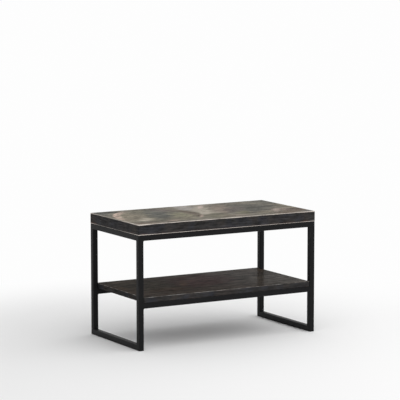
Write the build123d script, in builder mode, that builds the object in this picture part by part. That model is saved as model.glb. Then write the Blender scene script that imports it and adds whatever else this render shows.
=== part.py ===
from build123d import *
import os

os.makedirs("parts", exist_ok=True)

# Outline of the bench: the seat's edges are flush with the steel frame
bench_length = 720.0
bench_depth = 362.0
frame_height = 402.0  # floor to the underside of the seat
shelf_rail_height = 146.4  # floor to the underside of the shelf rails

# Square steel tube
tube_side = 20.0
tube_wall = 2.0
tube_corner = 3.0
tube_bore_corner = 1.0

# Plywood: the seat is two sheets glued face to face, the shelf is one
sheet_thickness = 18.7
seat_corner = 4.0
seat_top_arris = 2.5
seat_bottom_arris = 1.5
shelf_corner = 2.0
shelf_arris = 1.2
shelf_gap = 1.0  # the shelf stops this far inside the legs, and inside their outer faces

# Flat steel lugs, welded inside the rails
lug_width = 30.0
lug_reach = 22.0
lug_thickness = 4.0
lug_corner = 6.0
lug_hole = 5.5
lug_drop = 0.5  # top of the rail to the top of the lug
lug_inset = 70.0  # inner face of a leg to the middle of the nearest lug

# Pan-head wood screws, driven up through the lugs
screw_length = 20.0
screw_shank = 4.5
screw_tip = 5.0
screw_head = 9.0
screw_head_height = 3.2
screw_head_rim = 1.4
screw_setback = 12.0  # inner face of a rail to the screw's axis
drive_length = 4.6
drive_width = 1.1
drive_depth = 1.8
pilot_clearance = 0.1  # around the shank
pilot_overrun = 1.0  # past the screw's tip

# Places that follow from these sizes
leg_x = (bench_length - tube_side) / 2
leg_y = (bench_depth - tube_side) / 2
rail_length = bench_length - 2 * tube_side
rail_inner_y = bench_depth / 2 - tube_side
tube_bore = tube_side - 2 * tube_wall
shelf_base = shelf_rail_height + tube_side
outer_lug_x = rail_length / 2 - lug_inset
screw_y = rail_inner_y - screw_setback
screw_drop = lug_drop + lug_thickness  # top of the rail to the underside of the screw's head
pilot_depth = screw_length - screw_drop + pilot_overrun
pilot_radius = screw_shank / 2 + pilot_clearance

# Left to right along X, front to back along Y
sides = {"left": -1, "right": 1}
ends = {"front": -1, "back": 1}
seat_lugs = {"left": -outer_lug_x, "middle": 0, "right": outer_lug_x}
shelf_lugs = {"left": -outer_lug_x, "right": outer_lug_x}


def tube_section():
    """Hollow square with rounded corners, drawn in the open sketch."""
    RectangleRounded(tube_side, tube_side, tube_corner)
    RectangleRounded(tube_bore, tube_bore, tube_bore_corner, mode=Mode.SUBTRACT)


def mitre(end, height, rise):
    """Plane at 45 degrees through an outer corner of a side loop, facing up or down into the leg."""
    return Plane(origin=(0, end * bench_depth / 2, height), x_dir=(1, 0, 0), z_dir=(0, end, rise))


def make_leg(name, side, end):
    """Upright tube, mitred at its foot and at its head."""
    with BuildPart() as leg:
        with BuildSketch(Plane(origin=(side * leg_x, end * leg_y, 0))):
            tube_section()
        extrude(amount=frame_height)
        split(bisect_by=mitre(end, 0, 1), keep=Keep.TOP)
        split(bisect_by=mitre(end, frame_height, -1), keep=Keep.TOP)
    leg.part.label = name
    export_step(leg.part, f"parts/{name}.step")


def make_cross_tube(name, side, middle, corner, rise):
    """Level tube from front to back, mitred at both ends to meet the two legs."""
    start = Plane(origin=(side * leg_x, -bench_depth / 2, middle), x_dir=(1, 0, 0), z_dir=(0, 1, 0))
    with BuildPart() as cross_tube:
        with BuildSketch(start):
            tube_section()
        extrude(amount=bench_depth)
        for end in ends.values():
            split(bisect_by=mitre(end, corner, rise), keep=Keep.BOTTOM)
    cross_tube.part.label = name
    export_step(cross_tube.part, f"parts/{name}.step")


def make_long_rail(name, end, base):
    """Level tube between the legs along the bench's length, with square ends."""
    middle = base + tube_side / 2
    start = Plane(origin=(-rail_length / 2, end * leg_y, middle), x_dir=(0, 1, 0), z_dir=(1, 0, 0))
    with BuildPart() as long_rail:
        with BuildSketch(start):
            tube_section()
        extrude(amount=rail_length)
    long_rail.part.label = name
    export_step(long_rail.part, f"parts/{name}.step")


def make_lug(name, x, end, rail_top):
    """Flat lug against a rail's inner face, rounded at its free corners, with one screw hole."""
    top = Plane(origin=(x, end * rail_inner_y, rail_top - lug_drop), x_dir=(end, 0, 0), z_dir=(0, 0, -1))
    with BuildPart() as lug:
        with BuildSketch(top) as outline:
            Rectangle(lug_width, lug_reach, align=(Align.CENTER, Align.MIN))
            fillet(outline.vertices().sort_by(Axis.Y)[-2:], radius=lug_corner)
            with Locations((0, screw_setback)):
                Circle(lug_hole / 2, mode=Mode.SUBTRACT)
        extrude(amount=lug_thickness)
    lug.part.label = name
    export_step(lug.part, f"parts/{name}.step")


def screw_places(lugs, height):
    """One place for each lug of the front rail and of the back rail."""
    return [(x, end * screw_y, height) for end in ends.values() for x in lugs.values()]


def make_screws(name, lugs, rail_top):
    """All the screws of one board, with their heads against the lugs."""
    with BuildPart() as screws:
        with Locations(*screw_places(lugs, rail_top - screw_drop)):
            add(wood_screw.part)
    screws.part.label = name
    export_step(screws.part, f"parts/{name}.step")


def pilot_places(lugs, underside):
    """Upside-down places in the underside of a sheet, one over each lug."""
    return [Location(place, (180, 0, 0)) for place in screw_places(lugs, underside)]


# Upper sheet of the seat, with a rounded top arris
with BuildPart() as seat_sheet_upper:
    with BuildSketch(Plane.XY.offset(frame_height + sheet_thickness)):
        RectangleRounded(bench_length, bench_depth, seat_corner)
    extrude(amount=sheet_thickness)
    fillet(seat_sheet_upper.faces().sort_by(Axis.Z)[-1].edges(), radius=seat_top_arris)
seat_sheet_upper.part.label = "seat_sheet_upper"
export_step(seat_sheet_upper.part, "parts/seat_sheet_upper.step")

# Lower sheet of the seat, which takes the screws
with BuildPart() as seat_sheet_lower:
    with BuildSketch(Plane.XY.offset(frame_height)):
        RectangleRounded(bench_length, bench_depth, seat_corner)
    extrude(amount=sheet_thickness)
    fillet(seat_sheet_lower.faces().sort_by(Axis.Z)[0].edges(), radius=seat_bottom_arris)
    with Locations(*pilot_places(seat_lugs, frame_height)):
        Hole(radius=pilot_radius, depth=pilot_depth)
seat_sheet_lower.part.label = "seat_sheet_lower"
export_step(seat_sheet_lower.part, "parts/seat_sheet_lower.step")

# Shelf, lying on the two shelf rails between the legs
with BuildPart() as shelf_board:
    with BuildSketch(Plane.XY.offset(shelf_base)):
        RectangleRounded(rail_length - 2 * shelf_gap, bench_depth - 2 * shelf_gap, shelf_corner)
    extrude(amount=sheet_thickness)
    fillet(shelf_board.faces().sort_by(Axis.Z)[-1].edges(), radius=shelf_arris)
    fillet(shelf_board.faces().sort_by(Axis.Z)[0].edges(), radius=shelf_arris)
    with Locations(*pilot_places(shelf_lugs, shelf_base)):
        Hole(radius=pilot_radius, depth=pilot_depth)
shelf_board.part.label = "shelf_board"
export_step(shelf_board.part, "parts/shelf_board.step")

# Side loops: two legs, a top rail and a floor runner each
for side_name, side in sides.items():
    for end_name, end in ends.items():
        make_leg(f"leg_{end_name}_{side_name}", side, end)
    make_cross_tube(f"top_rail_{side_name}", side, frame_height - tube_side / 2, frame_height, -1)
    make_cross_tube(f"floor_runner_{side_name}", side, tube_side / 2, 0, 1)

# Long rails and the lugs inside them
for end_name, end in ends.items():
    make_long_rail(f"top_rail_{end_name}", end, frame_height - tube_side)
    make_long_rail(f"shelf_rail_{end_name}", end, shelf_rail_height)
    for lug_name, x in seat_lugs.items():
        make_lug(f"seat_lug_{end_name}_{lug_name}", x, end, frame_height)
    for lug_name, x in shelf_lugs.items():
        make_lug(f"shelf_lug_{end_name}_{lug_name}", x, end, shelf_base)

# One screw, point up, with the underside of its head at the origin
with BuildPart() as wood_screw:
    with BuildSketch(Plane.XZ):
        with BuildLine():
            crown = TangentArc(
                (0, -screw_head_height), (screw_head / 2, -screw_head_rim), tangent=(1, 0)
            )
            Polyline(
                crown @ 1,
                (screw_head / 2, 0),
                (screw_shank / 2, 0),
                (screw_shank / 2, screw_length - screw_tip),
                (0, screw_length),
                crown @ 0,
            )
        make_face()
    revolve(axis=Axis.Z)
    with BuildSketch(Plane.XY.offset(-screw_head_height)):
        Rectangle(drive_length, drive_width)
        Rectangle(drive_width, drive_length)
    extrude(amount=drive_depth, mode=Mode.SUBTRACT)

make_screws("seat_screws", seat_lugs, frame_height)
make_screws("shelf_screws", shelf_lugs, shelf_base)
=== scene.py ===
import math

import bmesh
import bpy
from mathutils import Matrix, Vector, noise


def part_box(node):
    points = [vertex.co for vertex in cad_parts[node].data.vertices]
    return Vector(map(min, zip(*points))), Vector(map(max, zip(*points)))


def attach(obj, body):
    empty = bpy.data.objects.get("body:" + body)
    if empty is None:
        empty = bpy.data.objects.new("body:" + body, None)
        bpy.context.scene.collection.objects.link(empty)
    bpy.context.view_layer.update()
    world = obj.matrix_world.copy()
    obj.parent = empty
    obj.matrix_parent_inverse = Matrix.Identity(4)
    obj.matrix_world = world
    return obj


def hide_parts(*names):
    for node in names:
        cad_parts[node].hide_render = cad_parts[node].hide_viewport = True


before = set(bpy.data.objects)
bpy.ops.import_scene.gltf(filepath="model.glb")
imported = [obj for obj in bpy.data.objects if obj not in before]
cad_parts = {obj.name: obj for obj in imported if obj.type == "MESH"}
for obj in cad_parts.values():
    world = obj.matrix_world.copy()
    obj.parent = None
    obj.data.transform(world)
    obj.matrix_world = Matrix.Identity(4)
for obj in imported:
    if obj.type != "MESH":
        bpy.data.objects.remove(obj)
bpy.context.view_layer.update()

MM = 0.001

# Viewpoint, worked out from the bench's edges in the photograph
CAMERA_PLACE = (-3.5985, -6.1812, 1.3938)
CAMERA_YAW = 30.121  # degrees from +Y towards +X
CAMERA_PITCH = 7.265  # degrees below level
CAMERA_ROLL = -0.039
CAMERA_LENS = 181.46
CAMERA_SENSOR = 36.0
CAMERA_REACH = 50.0

# Studio: light comes from everywhere, and more of it from the right and the front
BACKGROUND = 0.985
LIGHT_LEAN = (0.44, -0.50, 0.0)
FLOOR_RADIUS = 4.0
FLOOR_SEGMENTS = 96
FLOOR_DROP = 0.3 * MM  # keeps the floor's face clear of the runners' undersides
FLOOR_MIDDLE = (-150.0, -260.0, 0.0)  # in millimetres, as are the fade and the painted light's reach
FLOOR_FADE_START = 900.0
FLOOR_FADE_END = 1600.0
FLOOR_PAINTED_LIGHT_AXIS = (0.865, -0.502, 0.0)  # painted light: the floor's colour grows brighter along this way
FLOOR_PAINTED_LIGHT_REACH = 650.0

# The bench's boards and tubes, as the frame gives them
SEAT_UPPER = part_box("seat_sheet_upper")
SEAT_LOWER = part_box("seat_sheet_lower")
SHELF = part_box("shelf_board")
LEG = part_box("leg_front_left")
INNER_X = -LEG[1].x  # from the bench's middle to the legs' inner faces
TUBE = LEG[1].x - LEG[0].x
TUBE_CORNER = 3 * MM  # radius of the tubes' corners
SHEET = SHELF[1].z - SHELF[0].z


# Camera

def set_camera():
    """Camera at the photograph's viewpoint."""
    data = bpy.data.cameras.new("photograph_view")
    data.lens = CAMERA_LENS
    data.sensor_width = CAMERA_SENSOR
    data.clip_end = CAMERA_REACH
    camera = bpy.data.objects.new("photograph_view", data)
    bpy.context.scene.collection.objects.link(camera)
    turn = Matrix.Rotation(math.radians(-CAMERA_YAW), 4, "Z")
    tip = Matrix.Rotation(math.radians(90 - CAMERA_PITCH), 4, "X")
    roll = Matrix.Rotation(math.radians(CAMERA_ROLL), 4, "Z")
    camera.matrix_world = Matrix.Translation(CAMERA_PLACE) @ turn @ tip @ roll
    bpy.context.scene.camera = camera


set_camera()


# Shader maths

def paint(red, green, blue):
    """A colour written in 0 to 255 as it shows on a screen, as the shader's own linear colour."""
    def linear(level):
        share = level / 255
        return share / 12.92 if share <= 0.04045 else ((share + 0.055) / 1.055) ** 2.4
    return (linear(red), linear(green), linear(blue), 1.0)


class Reading:
    """One number read from a node. Arithmetic on readings adds Math nodes."""

    def __init__(self, finish, socket):
        self.finish = finish
        self.socket = socket

    def math(self, operation, *others):
        """Any Math node with this reading as its first value."""
        return self.finish.maths(operation, self, *others)

    def __add__(self, other):
        return self.finish.maths("ADD", self, other)

    def __sub__(self, other):
        return self.finish.maths("SUBTRACT", self, other)

    def __rsub__(self, other):
        return self.finish.maths("SUBTRACT", other, self)

    def __mul__(self, other):
        return self.finish.maths("MULTIPLY", self, other)

    def __truediv__(self, other):
        return self.finish.maths("DIVIDE", self, other)

    def __rtruediv__(self, other):
        return self.finish.maths("DIVIDE", other, self)

    __radd__ = __add__
    __rmul__ = __mul__


class Finish:
    """A procedural material, built node by node. Lengths in it are in millimetres."""

    def __init__(self, name, tree=None):
        if tree is None:
            self.material = bpy.data.materials.new(name)
            self.material.use_nodes = True
            tree = self.material.node_tree
        self.tree = tree
        self.tree.nodes.clear()

    def node(self, kind, settings=None, sockets=None, read=None):
        """Adds a node: its settings, then its sockets' values or links. Gives the output asked for."""
        node = self.tree.nodes.new(kind)
        for name, value in (settings or {}).items():
            setattr(node, name, value)
        for key, value in (sockets or {}).items():
            usable = [socket for socket in node.inputs if socket.enabled]
            socket = usable[key] if isinstance(key, int) else next(s for s in usable if s.name == key)
            if isinstance(value, Reading):
                self.tree.links.new(value.socket, socket)
            elif value is not None:
                socket.default_value = value
        given = [socket for socket in node.outputs if socket.enabled]
        if not given:
            return None
        return Reading(self, given[0] if read is None else next(s for s in given if s.name == read))

    def maths(self, operation, *values):
        """A Math node on readings and plain numbers."""
        return self.node("ShaderNodeMath", {"operation": operation}, dict(enumerate(values)))

    def point(self):
        """Where the surface is in the bench's frame, in millimetres."""
        place = self.node("ShaderNodeTexCoord", read="Object")
        return self.node("ShaderNodeVectorMath", {"operation": "SCALE"}, {"Vector": place, "Scale": 1 / MM})

    def stretched(self, place, x, y, z):
        """A place with each axis multiplied. What is drawn with it is longest along small numbers."""
        return self.node("ShaderNodeVectorMath", {"operation": "MULTIPLY"}, {0: place, 1: (x, y, z)})

    def shifted(self, place, x, y, z):
        """A place moved along each axis."""
        return self.node("ShaderNodeVectorMath", {"operation": "ADD"}, {0: place, 1: (x, y, z)})

    def split(self, vector):
        """The x, y and z of a vector."""
        axes = self.node("ShaderNodeSeparateXYZ", None, {"Vector": vector}).socket.node
        return [Reading(self, axis) for axis in axes.outputs]

    def joined(self, x, y, z):
        """The vector of three numbers."""
        return self.node("ShaderNodeCombineXYZ", None, {"X": x, "Y": y, "Z": z})

    def cloud(self, place, size, detail=2.0, roughness=0.5):
        """Soft noise from 0 to 1 about 0.5, with blots of about the given size in millimetres."""
        return self.node(
            "ShaderNodeTexNoise",
            None,
            {"Vector": place, "Scale": 1 / size, "Detail": detail, "Roughness": roughness},
            read="Fac",
        )

    def turned(self, place, x, y, z):
        """A place turned by degrees about each axis, so that noise read there doesn't line up with them."""
        turns = tuple(math.radians(angle) for angle in (x, y, z))
        return self.node(
            "ShaderNodeVectorRotate", {"rotation_type": "EULER_XYZ"}, {"Vector": place, "Rotation": turns}
        )

    def wavering(self, place, size, reach):
        """A place pushed about by soft noise, so that straight grain drawn with it wavers."""
        push = self.node(
            "ShaderNodeTexNoise", None, {"Vector": place, "Scale": 1 / size, "Detail": 2.0}, read="Color"
        )
        centred = self.shifted(push, -0.5, -0.5, -0.5)
        far = self.node("ShaderNodeVectorMath", {"operation": "SCALE"}, {"Vector": centred, "Scale": reach})
        return self.node("ShaderNodeVectorMath", {"operation": "ADD"}, {0: place, 1: far})

    def step(self, value, start, end):
        """Eases from 0 where value is start to 1 where it is end."""
        return self.node(
            "ShaderNodeMapRange",
            {"interpolation_type": "SMOOTHSTEP"},
            {"Value": value, "From Min": start, "From Max": end},
        )

    def blend(self, first, second, share):
        """Colour that goes from first to second as share goes from 0 to 1."""
        return self.node(
            "ShaderNodeMix",
            {"data_type": "RGBA", "clamp_factor": True},
            {"Factor": share, "A": first, "B": second},
        )

    def shade(self, colour, level):
        """Colour made lighter or darker by a number."""
        return self.node("ShaderNodeVectorMath", {"operation": "SCALE"}, {"Vector": colour, "Scale": level})

    def facing(self):
        """The surface's direction, one number for each axis."""
        return self.split(self.node("ShaderNodeNewGeometry", read="Normal"))

    def rounding(self):
        """0 on faces square to an axis, 1 in the middle of a rounded edge."""
        x, y, z = [axis.math("ABSOLUTE") for axis in self.facing()]
        widest = x.math("MAXIMUM", y).math("MAXIMUM", z)
        return self.step(widest, 0.995, 0.75)

    def surface(self, colour, roughness, height, specular, metallic=0.0, coat=0.0, coat_roughness=0.3):
        """The shader itself. height is the relief in millimetres."""
        relief = self.node("ShaderNodeBump", None, {"Strength": 1.0, "Distance": MM, "Height": height})
        shader = self.node(
            "ShaderNodeBsdfPrincipled",
            None,
            {
                "Base Color": colour,
                "Roughness": roughness,
                "Metallic": metallic,
                "Specular IOR Level": specular,
                "Coat Weight": coat,
                "Coat Roughness": coat_roughness,
                "Normal": relief,
            },
        )
        self.node("ShaderNodeOutputMaterial", None, {"Surface": shader})
        return self.material


# Finishes

# The floor's two colours are painted shade and painted light, for its duller and its brighter side.
FLOOR_PAINTED_SHADE = paint(237, 237, 237)
FLOOR_PAINTED_LIGHT = paint(252, 252, 252)
ZINC_BRIGHT = paint(182, 180, 174)
ZINC_DULL = paint(140, 138, 130)
STEEL_BLACK = paint(19, 19, 20)
STEEL_RUBBED_AND_HIGHLIGHT = paint(58, 57, 56)
BARE_WOOD = paint(217, 207, 198)
BARE_WOOD_GREY = paint(198, 189, 181)
BARE_WOOD_PALE = paint(226, 216, 208)
BARE_WOOD_DULL = paint(188, 183, 177)
STAIN_BLACK = paint(40, 39, 39)
STAIN_BLUE = paint(37, 39, 46)
STAIN_BROWN = paint(54, 48, 43)
RUBBED_BROWN = paint(76, 55, 48)
UNDERSIDE_BLACK = paint(44, 42, 41)
UNDERSIDE_BROWN = paint(66, 56, 48)

# The seat's washes. A wash is the x and y of its middle, its half-length along and across, its turn in
# degrees, its colour and its strength.
SEAT_GREY = paint(112, 107, 97)
LEFT_GREY = paint(111, 107, 95)
RIGHT_GREY = paint(101, 96, 87)
RIM_PINK = paint(184, 164, 151)
RIM_BROWN = paint(96, 82, 74)
CREAM = paint(172, 164, 151)
LILAC = paint(152, 147, 142)
SAND = paint(132, 124, 109)
PINKISH = paint(156, 140, 129)
PALE_PINK = paint(192, 175, 166)
SLATE = paint(88, 88, 83)
CHARCOAL = paint(78, 78, 73)
OLIVE = paint(116, 113, 92)
DULL_OLIVE = paint(104, 100, 86)
PALE_OLIVE = paint(128, 125, 104)
UMBER = paint(104, 91, 80)
TAN = paint(101, 90, 80)
MAUVE = paint(105, 95, 93)
BLUE_GREY = paint(100, 101, 103)
LEFT_FIGURE = (-182.0, -3.0)
LEFT_RADIUS = 158.0
RIGHT_FIGURE = (184.0, 0.0)
RIGHT_RADIUS = 140.0
LEFT_LINE_SPACING = 8.0
RIGHT_LINE_SPACING = 11.0
RING_SPACING = 17.0
GROUND_WASHES = [
    (-352, 140, 110, 72, 35, CHARCOAL, 0.9),
    (24, 26, 165, 56, 66, CREAM, 0.75),
    (-12, 120, 76, 36, 68, LILAC, 0.9),
    (-4, -104, 66, 60, 0, DULL_OLIVE, 0.95),
    (54, 116, 48, 11, 56, PALE_PINK, 0.75),
    (50, -140, 60, 36, 0, PINKISH, 0.3),
    (-345, -60, 40, 60, 0, SAND, 0.8),
    (-330, -170, 70, 30, 0, UMBER, 0.7),
    (348, -20, 30, 80, 0, SAND, 0.7),
    (330, 135, 60, 70, 0, SLATE, 0.7),
    (262, -156, 64, 26, 15, UMBER, 0.9),
    (322, -116, 66, 38, 45, TAN, 1.0),
    (352, -168, 34, 24, 0, BLUE_GREY, 0.6),
]
LEFT_WASHES = [
    (-290, 0, 60, 150, 0, SAND, 0.8),
    (-110, -40, 70, 44, 64, PALE_OLIVE, 0.7),
    (-162, 40, 160, 44, 69, SLATE, 0.95),
    (-95, 110, 60, 45, 0, MAUVE, 0.6),
    (-120, -110, 90, 50, 0, SAND, 0.5),
    (-274, -78, 48, 25, 56, CREAM, 0.6),
    (-52, 0, 120, 26, 86, UMBER, 0.5),
    (-62, -100, 60, 8, 58, PINKISH, 0.9),
    (-36, -92, 60, 7, 58, PINKISH, 0.8),
    (-210, -148, 40, 16, 20, PINKISH, 0.7),
]
RIGHT_WASHES = [
    (215, 20, 140, 90, 60, SLATE, 0.6),
    (90, 30, 140, 36, 62, PINKISH, 0.45),
    (135, 6, 90, 38, 62, MAUVE, 0.45),
    (205, -35, 70, 40, 60, CHARCOAL, 0.4),
    (105, -105, 70, 26, 58, OLIVE, 0.8),
    (185, -125, 60, 30, 58, SAND, 0.7),
    (262, -85, 62, 26, 52, PINKISH, 0.4),
    (256, -88, 56, 14, 55, PALE_PINK, 0.38),
    (300, -78, 56, 15, 55, PINKISH, 0.75),
]

# The shelf's washes
SHELF_BROWN = paint(53, 44, 37)
SHELF_OLIVE = paint(50, 43, 31)
SHELF_RED = paint(64, 34, 32)
SHELF_TAN = paint(64, 58, 51)
SHELF_RUST = paint(74, 52, 37)
SHELF_WORN = paint(194, 191, 188)
SHELF_WASHES = [
    (-230, 30, 110, 130, 0, SHELF_OLIVE, 0.8),
    (12, 36, 130, 110, 30, SHELF_RED, 0.85),
    (330, -80, 190, 190, 0, SHELF_TAN, 0.9),
    (-325, -10, 26, 90, 0, SHELF_RUST, 0.35),
    (-180, -80, 76, 40, 0, SHELF_RUST, 0.4),
    (-75, 10, 60, 18, 60, SHELF_RUST, 0.6),
]
SHELF_COAT = 0.032  # at the left end
SHELF_COAT_RISE = 0.082  # to the right end

PLIES = 13  # in one sheet

# Radius that wear gives a sheet's edge, and how its pale rubbed border varies
SEAT_TOP_WEAR = 2.7 * MM
SEAT_BASE_WEAR = 1.5 * MM
SHELF_WEAR = 1.2 * MM
GLUE_LINE_WEAR = 0.1 * MM
CORNER_WEAR_REACH = 70.0  # in millimetres, from a corner along either side
END_WEAR_SPREAD = 1.4  # how much further it reaches along the ends in front, as a share
RUBBED_REACH = 150.0  # the same for the brown patches above the seat's bottom edge
RIGHT_WEAR_LOSS = 0.28  # the edges are less worn to the right


def powder_coat():
    """Satin black powder coat: a fine orange peel, soft clouding and lightly rubbed corners, lighter partly
    as wear and partly as a painted highlight.
    """
    finish = Finish("powder_coat")
    place = finish.point()
    peel = finish.cloud(place, 1.1, 2.0)
    grit = finish.cloud(place, 0.25, 1.0)
    clouding = finish.cloud(place, 90, 3.0)
    blots = finish.cloud(finish.shifted(place, 31, 7, 3), 14, 3.0, 0.6)
    # Rounded corners are painted lighter in patches: partly rubbed wear, partly painted highlight.
    rubbed = finish.rounding() * finish.step(blots, 0.42, 0.72)
    scratches = finish.cloud(finish.stretched(place, 0.08, 1.0, 0.3), 0.6, 2.0)
    scuffed = finish.step(scratches, 0.70, 0.82) * finish.step(clouding, 0.45, 0.65)
    colour = finish.blend(STEEL_BLACK, STEEL_RUBBED_AND_HIGHLIGHT, rubbed * 0.55 + scuffed * 0.25)
    colour = finish.shade(colour, 0.85 + clouding * 0.3)
    roughness = 0.40 + clouding * 0.12 + grit * 0.05 - rubbed * 0.10
    height = peel * 0.045 + grit * 0.008 - scuffed * 0.012
    return finish.surface(colour, roughness, height, specular=0.11)


def zinc_plate():
    """Bright zinc on the screws, with a faint tumbled texture."""
    finish = Finish("zinc_plate")
    place = finish.point()
    spangle = finish.cloud(place, 0.8, 2.0)
    dulling = finish.cloud(place, 6, 2.0)
    colour = finish.blend(ZINC_BRIGHT, ZINC_DULL, finish.step(dulling, 0.4, 0.65))
    roughness = 0.30 + spangle * 0.2
    return finish.surface(colour, roughness, spangle * 0.01, specular=0.5, metallic=1.0)


def board_edges(finish, place, low, high):
    """How far a point lies from the board's top, its underside and its nearest side, in millimetres."""
    x, y, z = finish.split(place)
    below_top = high.z / MM - z
    above_base = z - low.z / MM
    inside = (high.x / MM - x.math("ABSOLUTE")).math("MINIMUM", high.y / MM - y.math("ABSOLUTE"))
    return below_top, above_base, inside


def stained_sides(finish, place, low, level=1.0, contrast=1.0):
    """Colour and relief of a sheet's near-black sides: thin plies under the stain, streaked lengthwise.

    level lightens the whole, and contrast strengthens its streaks and clouds.
    """
    x, y, z = finish.split(place)
    layer = (z - low.z / MM) / (SHEET / MM / PLIES)
    even = layer.math("PINGPONG", 1.0)
    glue = finish.step(even.math("MINIMUM", 1 - even), 0.10, 0.02)
    end_grain = finish.step(layer.math("MODULO", 2.0), 0.98, 1.02)
    streaks = finish.cloud(finish.joined(x * 0.02, y * 0.02, z * 0.26), 1.0, 4.0, 0.65)
    broad = finish.cloud(finish.joined(x * 0.5, y * 0.5, z * 0.9), 12, 3.0, 0.6)
    pores = finish.cloud(finish.joined(x * 1.6, y * 1.6, z * 2.6), 0.5, 2.0, 0.6)
    warm_clouds = finish.cloud(finish.shifted(place, 190, 240, 10), 45, 3.0)
    cool_clouds = finish.cloud(finish.shifted(place, -60, 120, 30), 45, 3.0)
    warm = finish.step(warm_clouds + streaks * 0.5, 0.68, 0.95)
    cool = finish.step(cool_clouds + streaks * 0.5, 0.68, 0.95)
    at_end = finish.facing()[0].math("ABSOLUTE")
    colour = finish.blend(STAIN_BLACK, STAIN_BROWN, warm * (0.34 + at_end * 0.36))
    colour = finish.blend(colour, STAIN_BLUE, cool * 0.55)
    uneven = (streaks - 0.5) * (3.4 * contrast) + (broad - 0.5) * (1.8 * contrast)
    tone = 1.13 + uneven * (1 + at_end * 0.6) - glue * 0.14 - end_grain * (0.08 + pores * 0.12)
    tone = tone * (level - at_end * 0.26)
    relief = streaks * 0.12 - glue * 0.05 - end_grain * pores * 0.10 + pores * 0.03
    return finish.shade(colour, tone), relief


def near_corner(finish, place, high, reach):
    """1 at a board's corners, easing to 0 at a distance from them along either side."""
    x, y = finish.split(place)[:2]
    from_end = high.x / MM - x.math("ABSOLUTE")
    from_flank = high.y / MM - y.math("ABSOLUTE")
    return finish.step(from_end + from_flank, reach, 0)


def worn_edge(finish, place, high, from_face, from_side, reach, width=0.72, raggedness=1.0, end_loss=0.40):
    """Where a sheet's edge has lost its stain: frayed, widest at the front corners, less to the right."""
    x, y = finish.split(place)[:2]
    slow = finish.cloud(place, 42, 3.0) - 0.5
    quick = finish.cloud(finish.shifted(place, 11, 5, 3), 3.0, 4.0, 0.7) - 0.5
    from_end = high.x / MM - x.math("ABSOLUTE")
    from_flank = high.y / MM - y.math("ABSOLUTE")
    at_end = finish.step(from_flank - from_end, -10, 10)
    in_front = finish.step(y, 60, -60)
    spread = 1 + at_end * in_front * END_WEAR_SPREAD
    cornered = near_corner(finish, place, high, spread * CORNER_WEAR_REACH)
    # Up the side and over onto the face count as one width, measured round the edge
    round_edge = from_side.math("MAXIMUM", from_face) / reach
    ragged = (slow * 1.5 + quick) * raggedness * (1 - at_end * 0.5)
    border = width + ragged + cornered * (0.25 + in_front * 0.20)
    share = finish.step(round_edge - border, 0.16, -0.16) * (1 - finish.step(x, 0, 260) * RIGHT_WEAR_LOSS)
    return share * (0.84 + cornered * 0.16) * (1 - at_end * (1 - cornered * 0.5) * end_loss)


def washed(finish, colour, spot, fray, washes):
    """Lays soft frayed washes of other colours over a colour, one after another."""
    x, y = spot
    for middle_x, middle_y, along, across, turn, tint, strength in washes:
        cosine = math.cos(math.radians(turn))
        sine = math.sin(math.radians(turn))
        u = (x - middle_x) * (cosine / along) + (y - middle_y) * (sine / along)
        v = (y - middle_y) * (cosine / across) - (x - middle_x) * (sine / across)
        share = finish.step(u * u + v * v + fray, 1.7, 0.1)
        colour = finish.blend(colour, tint, share * strength)
    return colour


def board_texture(finish, place):
    """Streaks along a board's length at four sizes, blots without direction, and open pores."""
    wavy = finish.wavering(place, 120, 26)
    loose = finish.turned(place, 38, 21, 33)
    bands = finish.cloud(finish.stretched(wavy, 0.008, 0.055, 0.01), 1.0, 3.0, 0.6) - 0.5
    streaks = finish.cloud(finish.stretched(wavy, 0.02, 0.24, 0.03), 1.0, 4.0, 0.6) - 0.5
    fibres = finish.cloud(finish.stretched(wavy, 0.07, 1.3, 0.1), 1.0, 4.0, 0.7) - 0.5
    mottle = finish.cloud(finish.stretched(wavy, 0.036, 0.13, 0.04), 1.0, 5.0, 0.66) - 0.5
    blots = finish.cloud(finish.shifted(loose, 0, 0, 70), 30, 4.0, 0.6) - 0.5
    pores = finish.step(finish.cloud(finish.stretched(wavy, 0.11, 2.1, 0.1), 1.0, 2.0), 0.60, 0.68)
    return bands, streaks, fibres, mottle, blots, pores


def growth_lines(finish, place, distance, spacing):
    """Latewood lines across a distance, 0 to 1: each darkens slowly and stops short. Never quite even."""
    uneven = finish.cloud(finish.shifted(place, 90, 30, 60), 90, 3.0) * 9 + finish.cloud(place, 9, 2.0)
    share = (distance / spacing + uneven).math("FRACT")
    return finish.step(share, 0.30, 0.88) * finish.step(share, 1.0, 0.90)


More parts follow.
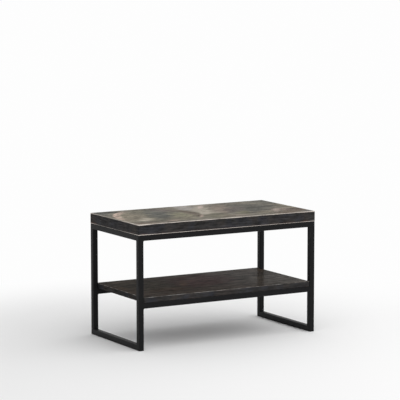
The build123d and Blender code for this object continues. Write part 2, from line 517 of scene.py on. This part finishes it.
def seat_figure(finish, place):
    """The washed and sanded face of the seat: two round figures with a pale ground between them."""
    x, y = finish.split(place)[:2]
    drift = finish.cloud(place, 75, 2.0) - 0.5
    side_drift = finish.cloud(finish.shifted(place, 300, 200, 0), 75, 2.0) - 0.5
    quick_drift = finish.cloud(finish.shifted(place, 50, 500, 0), 14, 3.0) - 0.5
    spot = (x + drift * 26 + quick_drift * 10, y + side_drift * 26 + quick_drift * 10)
    bands, streaks, fibres, mottle, blots, pores = board_texture(finish, place)
    fray = mottle * 1.8 + blots * 3.0 + bands * 2.4 + streaks * 1.2

    def from_centre(centre):
        across_x = spot[0] - centre[0]
        across_y = spot[1] - centre[1]
        return (across_x * across_x + across_y * across_y).math("SQRT")

    left = from_centre(LEFT_FIGURE)
    right = from_centre(RIGHT_FIGURE)
    colour = washed(finish, SEAT_GREY, spot, fray, GROUND_WASHES)
    left_colour = washed(finish, LEFT_GREY, spot, fray, LEFT_WASHES)
    right_colour = washed(finish, RIGHT_GREY, spot, fray, RIGHT_WASHES)
    ragged = mottle * 20 + streaks * 14
    in_left = finish.step(left + ragged, LEFT_RADIUS + 7, LEFT_RADIUS - 7)
    colour = finish.blend(colour, left_colour, in_left)
    ragged = ragged + blots * 60 + bands * 60
    in_right = finish.step(right + ragged, RIGHT_RADIUS + 34, RIGHT_RADIUS - 30)
    colour = finish.blend(colour, right_colour, in_right)

    # The left figure's pale rim, and a brown one on its right
    ragged = mottle * 8 + fibres * 6 + quick_drift * 3
    back_left = finish.step(y, -75, -5) * finish.step(x, -225, -285)
    from_rim = left + ragged - LEFT_RADIUS - finish.step(y, 50, -35) * 14
    rim = finish.step(from_rim, -26, -7) * finish.step(from_rim, 9, 3)
    colour = finish.blend(colour, RIM_PINK, rim * back_left * (0.86 + blots * 0.8))
    right_side = finish.step(x - LEFT_FIGURE[0], 70, 130)
    dark_rim = finish.step((left + ragged - LEFT_RADIUS + 14).math("ABSOLUTE"), 9, 2)
    colour = finish.blend(colour, RIM_BROWN, dark_rim * right_side * 0.38)

    # Growth lines run round each figure, closer set and plainer just inside the left one's rim
    near_rim = finish.step((left - LEFT_RADIUS + 10).math("ABSOLUTE"), 50, 8)
    left_lines = growth_lines(finish, place, left, LEFT_LINE_SPACING)
    left_lines = left_lines * in_left * (0.12 + near_rim * 0.15 + blots * 0.8)
    right_lines = growth_lines(finish, place, right, RIGHT_LINE_SPACING)
    right_lines = right_lines * in_right * (0.12 + blots * 0.8)

    def soft_rings(distance):
        ring_place = finish.joined(distance / RING_SPACING, x * 0.012, y * 0.012)
        return finish.cloud(ring_place, 1.0, 3.0, 0.6) - 0.5

    rings = soft_rings(left) * in_left * (0.9 + near_rim * 0.9) + soft_rings(right) * in_right
    slanted = finish.turned(place, 0, 0, 11)
    scratches = finish.cloud(finish.stretched(slanted, 0.012, 1.1, 1.0), 1.0, 2.0, 0.7)
    scratches = finish.step(scratches, 0.68, 0.76)
    tone = 1.03 + bands * 2.1 + streaks * 1.9 + mottle * 2.0 + blots * 0.9 + fibres * 1.6
    tone = tone + rings - left_lines - right_lines + scratches * 0.14 - pores * 0.16
    lines = left_lines + right_lines
    height = fibres * 0.06 + streaks * 0.04 - pores * 0.12 - lines * 0.3 - scratches * 0.02
    return finish.shade(colour, tone), height


def with_underside(finish, place, above_base, side_colour, side_height):
    """A board's sides carried on round to its underside, stained unevenly over rough-sanded grain."""
    bands, streaks, fibres, mottle, blots, pores = board_texture(finish, place)
    thin = finish.step(blots + bands, 0.02, 0.16)
    colour = finish.blend(UNDERSIDE_BLACK, UNDERSIDE_BROWN, thin * 0.7)
    tone = 1.0 + bands * 1.6 + streaks * 2.6 + mottle * 1.0 + fibres * 1.6 - pores * 0.35
    below = finish.step(above_base, 1.6, 0.4)
    height = fibres * 0.14 + streaks * 0.08 - pores * 0.14
    colour = finish.blend(side_colour, finish.shade(colour, tone), below)
    return colour, side_height + below * (height - side_height)


def seat_face():
    """Upper sheet of the seat: washed figured face, near-black sides and a worn top edge."""
    finish = Finish("seat_face")
    low, high = SEAT_UPPER
    place = finish.point()
    below_top, _, inside = board_edges(finish, place, low, high)
    face_colour, face_height = seat_figure(finish, place)
    side_colour, side_height = stained_sides(finish, place, low)
    on_face = finish.step(below_top, 2.2, 0.8)
    worn = worn_edge(finish, place, high, below_top, inside, SEAT_TOP_WEAR / MM)
    fresh = finish.cloud(place, 21, 2.0)
    bare = finish.blend(BARE_WOOD, BARE_WOOD_GREY, finish.step(fresh, 0.40, 0.60))
    colour = finish.blend(side_colour, face_colour, on_face)
    colour = finish.blend(colour, bare, worn)
    height = side_height + on_face * (face_height - side_height)
    roughness = 0.62 + on_face * 0.10 + worn * 0.05
    return finish.surface(colour, roughness, height, specular=0.10)


def seat_base():
    """Lower sheet of the seat: near-black, rubbed brown here and there above its worn bottom edge."""
    finish = Finish("seat_base")
    low, high = SEAT_LOWER
    place = finish.point()
    _, above_base, inside = board_edges(finish, place, low, high)
    side_colour, side_height = stained_sides(finish, place, low)
    side_colour, side_height = with_underside(finish, place, above_base, side_colour, side_height)
    reach = SEAT_BASE_WEAR / MM
    worn = worn_edge(
        finish, place, high, above_base, inside, reach, width=1.0, raggedness=0.45, end_loss=0.25
    )
    patches = finish.step(finish.cloud(finish.shifted(place, 40, 0, 9), 34, 4.0, 0.6), 0.40, 0.62)
    cornered = near_corner(finish, place, high, RUBBED_REACH)
    rubbed = finish.step(above_base, 9, 2) * patches * (0.18 + cornered * 0.7)
    colour = finish.blend(side_colour, RUBBED_BROWN, rubbed)
    at_end = finish.facing()[0].math("ABSOLUTE")
    dulled = at_end * (1 - near_corner(finish, place, high, CORNER_WEAR_REACH))
    colour = finish.blend(colour, finish.blend(BARE_WOOD_PALE, BARE_WOOD_DULL, dulled), worn)
    return finish.surface(colour, 0.62 + worn * 0.1, side_height, specular=0.12)


def shelf_face():
    """Shelf: dark brown stain streaked along its length under a thin satin coat, faintly worn edges."""
    finish = Finish("shelf_face")
    low, high = SHELF
    place = finish.point()
    x, y = finish.split(place)[:2]
    below_top, above_base, inside = board_edges(finish, place, low, high)
    bands, streaks, fibres, mottle, blots, pores = board_texture(finish, place)
    fray = mottle * 1.8 + blots * 3.0 + bands * 2.4
    colour = washed(finish, SHELF_BROWN, (x, y), fray, SHELF_WASHES)
    tone = 1.0 + bands * 3.0 + streaks * 3.8 + mottle * 2.2 + blots * 1.2 + fibres * 1.8 - pores * 0.20
    colour = finish.shade(colour, tone)
    side_colour, side_height = stained_sides(finish, place, low, level=1.33, contrast=0.55)
    side_colour, side_height = with_underside(finish, place, above_base, side_colour, side_height)
    on_face = finish.step(below_top, 1.4, 0.5)
    height = side_height + on_face * (fibres * 0.05 + streaks * 0.05 - pores * 0.10 - side_height)
    worn = worn_edge(finish, place, high, below_top, inside, SHELF_WEAR / MM, end_loss=0.0)
    patchy = finish.step(finish.cloud(finish.shifted(place, 7, 70, 7), 30, 3.0), 0.42, 0.60)
    colour = finish.blend(side_colour, colour, on_face)
    colour = finish.blend(colour, SHELF_WORN, worn * (0.13 + patchy * 0.47))
    coat = on_face * (SHELF_COAT + finish.step(x, -130, 330) * SHELF_COAT_RISE)
    coat = coat * (1 + bands * 1.6 + streaks * 2.4 + mottle * 2.4 + blots * 1.6)
    roughness = 0.80 + fibres * 0.12
    return finish.surface(colour, roughness, height, specular=0.04, coat=coat, coat_roughness=0.22)


# Meshes

def finished(name, mesh):
    """A smooth-shaded object made from a finished mesh."""
    data = bpy.data.meshes.new(name)
    mesh.to_mesh(data)
    mesh.free()
    data.polygons.foreach_set("use_smooth", [True] * len(data.polygons))
    piece = bpy.data.objects.new(name, data)
    bpy.context.scene.collection.objects.link(piece)
    return piece


# Boards

BOARD_CORNER = 2.0 * MM
GRID_CELL = 14 * MM
GRID_MARGIN = 6 * MM
EDGE_SPLIT = 4  # fine edge steps for each cell of the grid
EDGE_ARC = 6
CORNER_TURNS = 6
FACE_MARGIN = 0.25 * MM
SIDE_STEPS = 4

# How a worn edge's radius varies: cells of noise in a metre, then shares of the radius
SLOW_WEAR = 28
QUICK_WEAR = 150
KNOCKS = 60
WEAR_LEVEL = 0.92
SLOW_WEAR_SHARE = 0.22
QUICK_WEAR_SHARE = 0.10
KNOCK_SHARE = 2.0
KNOCK_RARITY = 0.42  # only noise above this makes a knock
TOP_SEED_GAP = 40  # keeps the wear of the top edge apart from that of the bottom one


def edge_stations(cells_x, cells_y):
    """Places round a board's edge: shares of the straight sides' half-lengths, and the way out."""
    sides = [
        (Vector((-1, -1)), Vector((1, -1)), cells_x * EDGE_SPLIT, -90),
        (Vector((1, -1)), Vector((1, 1)), cells_y * EDGE_SPLIT, 0),
        (Vector((1, 1)), Vector((-1, 1)), cells_x * EDGE_SPLIT, 90),
        (Vector((-1, 1)), Vector((-1, -1)), cells_y * EDGE_SPLIT, 180),
    ]
    stations = []
    for start, end, count, heading in sides:
        angle = math.radians(heading)
        out = Vector((math.cos(angle), math.sin(angle)))
        for index in range(count + 1):
            stations.append((start.lerp(end, index / count), out))
        for turn in range(1, CORNER_TURNS):
            angle = math.radians(heading + 90 * turn / CORNER_TURNS)
            stations.append((end, Vector((math.cos(angle), math.sin(angle)))))
    return stations


def wear(place, radius, seed):
    """Radius of a worn edge at a place: it wanders, and a knock takes it down further here and there."""
    slow = noise.noise(place * SLOW_WEAR + Vector((seed, 0, 0)))
    quick = noise.noise(place * QUICK_WEAR + Vector((0, seed, 0)))
    knock = max(0.0, noise.noise(place * KNOCKS + Vector((0, 0, seed))) - KNOCK_RARITY)
    return radius * (WEAR_LEVEL + SLOW_WEAR_SHARE * slow + QUICK_WEAR_SHARE * quick + KNOCK_SHARE * knock)


def board(name, box, top_radius, base_radius, seed):
    """A sheet with a rounded outline and worn edges, gridded on both faces."""
    low, high = box
    half_x = (high.x - low.x) / 2
    half_y = (high.y - low.y) / 2
    cells_x = round(2 * half_x / GRID_CELL)
    cells_y = round(2 * half_y / GRID_CELL)

    def rim(share, out, inset):
        """A point on the outline drawn in by an inset, whose corners tighten half as fast."""
        corner = BOARD_CORNER - inset / 2
        inner = Vector((half_x - inset - corner, half_y - inset - corner))
        return share * inner + out * corner

    mesh = bmesh.new()
    rows = []
    for share, out in edge_stations(cells_x, cells_y):
        outer = rim(share, out, 0)
        base_wear = wear(Vector((outer.x, outer.y, low.z)), base_radius, seed)
        top_wear = wear(Vector((outer.x, outer.y, high.z)), top_radius, seed + TOP_SEED_GAP)
        profile = [(base_wear + FACE_MARGIN, low.z)]
        for index in range(EDGE_ARC + 1):
            angle = math.radians(90 * index / EDGE_ARC)
            profile.append((base_wear * (1 - math.sin(angle)), low.z + base_wear * (1 - math.cos(angle))))
        side_low = low.z + base_wear
        side_high = high.z - top_wear
        for index in range(1, SIDE_STEPS):
            profile.append((0.0, side_low + (side_high - side_low) * index / SIDE_STEPS))
        for index in range(EDGE_ARC + 1):
            angle = math.radians(90 * index / EDGE_ARC)
            profile.append((top_wear * (1 - math.cos(angle)), high.z - top_wear * (1 - math.sin(angle))))
        profile.append((top_wear + FACE_MARGIN, high.z))
        column = []
        for inset, z in profile:
            spot = rim(share, out, inset)
            column.append(mesh.verts.new((spot.x, spot.y, z)))
        rows.append(column)
    for index, column in enumerate(rows):
        after = rows[(index + 1) % len(rows)]
        for step in range(len(column) - 1):
            mesh.faces.new((column[step], after[step], after[step + 1], column[step + 1]))

    def close(level, z, upward):
        """Fills a face: a coarse grid inside, strips to the fine edge, and fans at the corners."""
        inner_x = half_x - GRID_MARGIN
        inner_y = half_y - GRID_MARGIN
        grid = []
        for i in range(cells_x + 1):
            line = []
            for j in range(cells_y + 1):
                x = -inner_x + 2 * inner_x * i / cells_x
                y = -inner_y + 2 * inner_y * j / cells_y
                line.append(mesh.verts.new((x, y, z)))
            grid.append(line)

        def face(*verts):
            mesh.faces.new(verts if upward else tuple(reversed(verts)))

        for i in range(cells_x):
            for j in range(cells_y):
                face(grid[i][j], grid[i + 1][j], grid[i + 1][j + 1], grid[i][j + 1])
        borders = [
            [grid[i][0] for i in range(cells_x + 1)],
            [grid[cells_x][j] for j in range(cells_y + 1)],
            [grid[cells_x - i][cells_y] for i in range(cells_x + 1)],
            [grid[0][cells_y - j] for j in range(cells_y + 1)],
        ]
        ring = [column[level] for column in rows]
        start = 0
        for border in borders:
            for cell in range(len(border) - 1):
                first = start + cell * EDGE_SPLIT
                outer = [ring[first + step] for step in range(EDGE_SPLIT + 1)]
                face(*outer, border[cell + 1], border[cell])
            start += (len(border) - 1) * EDGE_SPLIT
            for turn in range(CORNER_TURNS):
                face(ring[start + turn], ring[(start + turn + 1) % len(ring)], border[-1])
            start += CORNER_TURNS

    close(0, low.z, False)
    close(-1, high.z, True)
    return finished(name, mesh)


# Welds

RIPPLE = 1.7 * MM  # from one ripple of a bead to the next
RIPPLE_BOW = 0.9 * MM
BEAD_STEP = RIPPLE / 4
BEAD_ACROSS = 5
BEAD_ROOT = 0.8 * MM  # how far a bead's hidden back lies inside the steel
FILLET = 2.4 * MM
FILLET_BULGE = 0.2 * MM
CROWN = 0.9 * MM
CROWN_LAP = 1.2 * MM
GROUND_DIP = 0.08 * MM
GROUND_CLEARANCE = 0.03 * MM
FILLET_TAPER = 8  # the higher, the shorter the tapered ends of a bead
FILLET_WANDER = 0.10
FILLET_WANDER_PITCH = 6 * MM
FILLET_RIPPLE = 0.10 * MM
FILLET_END_SHARE = 0.25  # of the bead's size, at its ends
RAIL_WANDER = 0.12
RAIL_WANDER_PITCH = 5 * MM
RAIL_RIPPLE = 0.12 * MM
TUBE_TURNS = 8  # steps round each corner of a tube
HIGHEST_WAY = 0.87  # a rail's weld leaves out what faces up more than this
LUG_WELD = 26 * MM
LOOP_WELD = 15 * MM


def ripple(distance, share):
    """Height of a bead's ripples, 0 to 1, bowed across its width."""
    bowed = distance + RIPPLE_BOW * (2 * share - 1) ** 2
    return abs(math.sin(math.pi * bowed / RIPPLE))


def bead(name, sections):
    """A closed bead through a row of sections, each a ring of points, capped at both ends."""
    mesh = bmesh.new()
    rings = [[mesh.verts.new(point) for point in section] for section in sections]
    for first, second in zip(rings, rings[1:]):
        for index in range(len(first)):
            after = (index + 1) % len(first)
            mesh.faces.new((first[index], first[after], second[after], second[index]))
    mesh.faces.new(rings[0])
    mesh.faces.new(rings[-1])
    bmesh.ops.recalc_face_normals(mesh, faces=mesh.faces)
    return finished(name, mesh)


def fillet_weld(name, middle, along, first, second, length, seed):
    """A short bead in the corner between two faces, which lead away from it along first and second."""
    steps = round(length / BEAD_STEP)
    sections = []
    for step in range(steps + 1):
        share_along = 2 * step / steps - 1
        distance = share_along * length / 2
        taper = (1 - share_along ** FILLET_TAPER) ** 0.5
        wander = 1 + FILLET_WANDER * noise.noise(Vector((distance / FILLET_WANDER_PITCH, seed, 0)))
        size = FILLET * (FILLET_END_SHARE + (1 - FILLET_END_SHARE) * taper) * wander
        corner = middle + along * distance
        section = [corner - (first + second) * BEAD_ROOT]
        for point in range(BEAD_ACROSS + 1):
            share = point / BEAD_ACROSS
            bulge = math.sin(math.pi * share) * (FILLET_BULGE + FILLET_RIPPLE * ripple(distance, share))
            face = first * (size * (1 - share) + bulge) + second * (size * share + bulge)
            section.append(corner + face)
        sections.append(section)
    return bead(name, sections)


def round_tube(half, corner):
    """Points and outward ways on a tube's section, from one upper corner down and round to the other."""
    flat = half - corner
    steps = round(2 * flat / BEAD_STEP)
    path = []
    for heading in (90, 0, -90, -180):
        angle = math.radians(heading)
        out = Vector((math.cos(angle), math.sin(angle)))
        onward = Vector((math.sin(angle), -math.cos(angle)))
        if heading < 90:
            for step in range(steps + 1):
                path.append((out * half + onward * flat * (2 * step / steps - 1), out))
        centre = (out + onward) * flat
        for turn in range(1, TUBE_TURNS):
            angle = math.radians(heading - 90 * turn / TUBE_TURNS)
            way = Vector((math.cos(angle), math.sin(angle)))
            if way.y < HIGHEST_WAY:
                path.append((centre + way * corner, way))
    return path


def rail_weld(name, rail, side, seed):
    """Weld round a long rail's end at a leg: ground flush outside, a rippled bead below and inside."""
    low, high = rail
    end = 1 if low.y > 0 else -1
    middle_y = (low.y + high.y) / 2
    middle_z = (low.z + high.z) / 2
    half = TUBE / 2
    distance = 0.0
    before = None
    sections = []
    for place, out in round_tube(half, TUBE_CORNER):
        distance += (place - before).length if before else 0
        before = place
        below = min(out.y, 0) ** 2
        inside = min(out.x, 0) ** 2
        outside = 1 - below - inside
        wander = 1 + RAIL_WANDER * noise.noise(Vector((distance / RAIL_WANDER_PITCH, seed, 0)))
        section = []
        for point in range(-1, BEAD_ACROSS + 2):
            share = min(max(point / BEAD_ACROSS, 0), 1)
            bulge = math.sin(math.pi * share)
            rippled = bulge * RAIL_RIPPLE * ripple(distance, share)
            ground = Vector((TUBE_CORNER * share, -GROUND_DIP * bulge - GROUND_CLEARANCE))
            fillet = Vector((-FILLET * (1 - share), FILLET * share)) * wander
            fillet += Vector((-1, 1)) * (bulge * FILLET_BULGE + rippled)
            crown_across = -CROWN_LAP + (TUBE_CORNER + 2 * CROWN_LAP) * share
            crown = Vector((crown_across, CROWN * bulge * wander + rippled))
            if point < 0:
                ground += Vector((-BEAD_ROOT, -BEAD_ROOT))
                fillet += Vector((BEAD_ROOT, -BEAD_ROOT))
                crown += Vector((BEAD_ROOT, -BEAD_ROOT))
            elif point > BEAD_ACROSS:
                ground += Vector((BEAD_ROOT, -BEAD_ROOT))
                fillet += Vector((BEAD_ROOT, -BEAD_ROOT))
                crown += Vector((-BEAD_ROOT, -BEAD_ROOT))
            past_end, above = ground * outside + fillet * below + crown * inside
            spot = place + out * above
            outward = min(spot.x, half - GROUND_CLEARANCE)
            section.append((side * (INNER_X + past_end), middle_y + end * outward, middle_z + spot.y))
        sections.append(section)
    return bead(name, sections)


# Floor and light

def lay_floor():
    """A plain pale floor that keeps the bench's shadow and fades into the white background. Its colour
    carries painted light, brighter towards one side.
    """
    mesh = bmesh.new()
    bmesh.ops.create_circle(mesh, cap_ends=True, segments=FLOOR_SEGMENTS, radius=FLOOR_RADIUS)
    data = bpy.data.meshes.new("floor")
    mesh.to_mesh(data)
    mesh.free()
    floor = bpy.data.objects.new("floor", data)
    floor.location.z = -FLOOR_DROP
    bpy.context.scene.collection.objects.link(floor)
    finish = Finish("floor")
    place = finish.point()
    distance = finish.node("ShaderNodeVectorMath", {"operation": "DISTANCE"}, {0: place, 1: FLOOR_MIDDLE})
    seen = finish.node("ShaderNodeLightPath", read="Is Camera Ray")
    fade = finish.step(distance, FLOOR_FADE_START, FLOOR_FADE_END) * seen
    # Painted light: the floor's colour goes from painted shade to painted light across it.
    across = finish.node(
        "ShaderNodeVectorMath", {"operation": "DOT_PRODUCT"}, {0: place, 1: FLOOR_PAINTED_LIGHT_AXIS}
    )
    brighter = across / (2 * FLOOR_PAINTED_LIGHT_REACH) + 0.5
    tint = finish.blend(FLOOR_PAINTED_SHADE, FLOOR_PAINTED_LIGHT, brighter)
    matt = finish.node("ShaderNodeBsdfDiffuse", None, {"Color": tint})
    white = finish.node("ShaderNodeEmission", None, {"Color": (1, 1, 1, 1), "Strength": BACKGROUND})
    mixed = finish.node("ShaderNodeMixShader", None, {0: fade, 1: matt, 2: white})
    finish.node("ShaderNodeOutputMaterial", None, {"Surface": mixed})
    data.materials.append(finish.material)


def light_studio():
    """A soft white surround, brighter to the right and front. Camera and gloss see an even white."""
    world = bpy.data.worlds.new("studio")
    world.use_nodes = True
    bpy.context.scene.world = world
    finish = Finish("studio", world.node_tree)
    heading = finish.node("ShaderNodeTexCoord", read="Generated")
    lean = finish.node("ShaderNodeVectorMath", {"operation": "DOT_PRODUCT"}, {0: heading, 1: LIGHT_LEAN})
    surround = finish.node("ShaderNodeBackground", None, {"Color": (1, 1, 1, 1), "Strength": lean + 1})
    backdrop = finish.node("ShaderNodeBackground", None, {"Color": (1, 1, 1, 1), "Strength": BACKGROUND})
    camera_ray = finish.node("ShaderNodeLightPath", read="Is Camera Ray")
    glossy_ray = finish.node("ShaderNodeLightPath", read="Is Glossy Ray")
    seen = camera_ray.math("MAXIMUM", glossy_ray)
    mixed = finish.node("ShaderNodeMixShader", None, {0: seen, 1: surround, 2: backdrop})
    finish.node("ShaderNodeOutputWorld", None, {"Surface": mixed})


# The bench, put together

def finish_node(name, material):
    """Gives a carried-over piece its finish."""
    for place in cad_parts[name].material_slots:
        place.material = material


def stand_in(piece, node, material):
    """A detailed piece in the place of a frame node."""
    piece.data.materials.append(material)
    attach(piece, "root")
    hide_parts(node)


def dress(piece, material):
    """A small extra piece of the fixed frame."""
    piece.data.materials.append(material)
    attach(piece, "root")


SIDES = {"left": -1, "right": 1}
ENDS = {"front": -1, "back": 1}
X_AXIS = Vector((1, 0, 0))
Y_AXIS = Vector((0, 1, 0))
Z_AXIS = Vector((0, 0, 1))

lay_floor()
light_studio()
bpy.context.scene.view_settings.view_transform = "Standard"

coat = powder_coat()
zinc = zinc_plate()
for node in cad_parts:
    if node.endswith("_screws"):
        finish_node(node, zinc)
    else:
        finish_node(node, coat)

upper = board("seat_upper_sheet", SEAT_UPPER, SEAT_TOP_WEAR, GLUE_LINE_WEAR, seed=3)
lower = board("seat_lower_sheet", SEAT_LOWER, GLUE_LINE_WEAR, SEAT_BASE_WEAR, seed=17)
shelf = board("shelf_sheet", SHELF, SHELF_WEAR, SHELF_WEAR, seed=29)
stand_in(upper, "seat_sheet_upper", seat_face())
stand_in(lower, "seat_sheet_lower", seat_base())
stand_in(shelf, "shelf_board", shelf_face())

for rail_name in ("top_rail_front", "top_rail_back", "shelf_rail_front", "shelf_rail_back"):
    for side_name, side in SIDES.items():
        name = f"weld_{rail_name}_{side_name}"
        weld = rail_weld(name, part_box(rail_name), side, seed=len(name) + side)
        dress(weld, coat)

for index, node in enumerate(sorted(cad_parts)):
    if "_lug_" not in node:
        continue
    low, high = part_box(node)
    end = 1 if low.y > 0 else -1
    rail_face = end * max(abs(low.y), abs(high.y))
    corner = Vector(((low.x + high.x) / 2, rail_face, low.z))
    weld = fillet_weld(f"weld_{node}", corner, X_AXIS, Y_AXIS * -end, -Z_AXIS, LUG_WELD, seed=index)
    dress(weld, coat)

for side_name, side in SIDES.items():
    for end_name, end in ENDS.items():
        low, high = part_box(f"leg_{end_name}_{side_name}")
        inner_y = end * min(abs(low.y), abs(high.y))
        for level, height, up in (("floor", low.z + TUBE, Z_AXIS), ("top", high.z - TUBE, -Z_AXIS)):
            corner = Vector(((low.x + high.x) / 2, inner_y, height))
            name = f"weld_{level}_corner_{end_name}_{side_name}"
            seed = len(name) + height
            weld = fillet_weld(name, corner, X_AXIS, Y_AXIS * -end, up, LOOP_WELD, seed)
            dress(weld, coat)
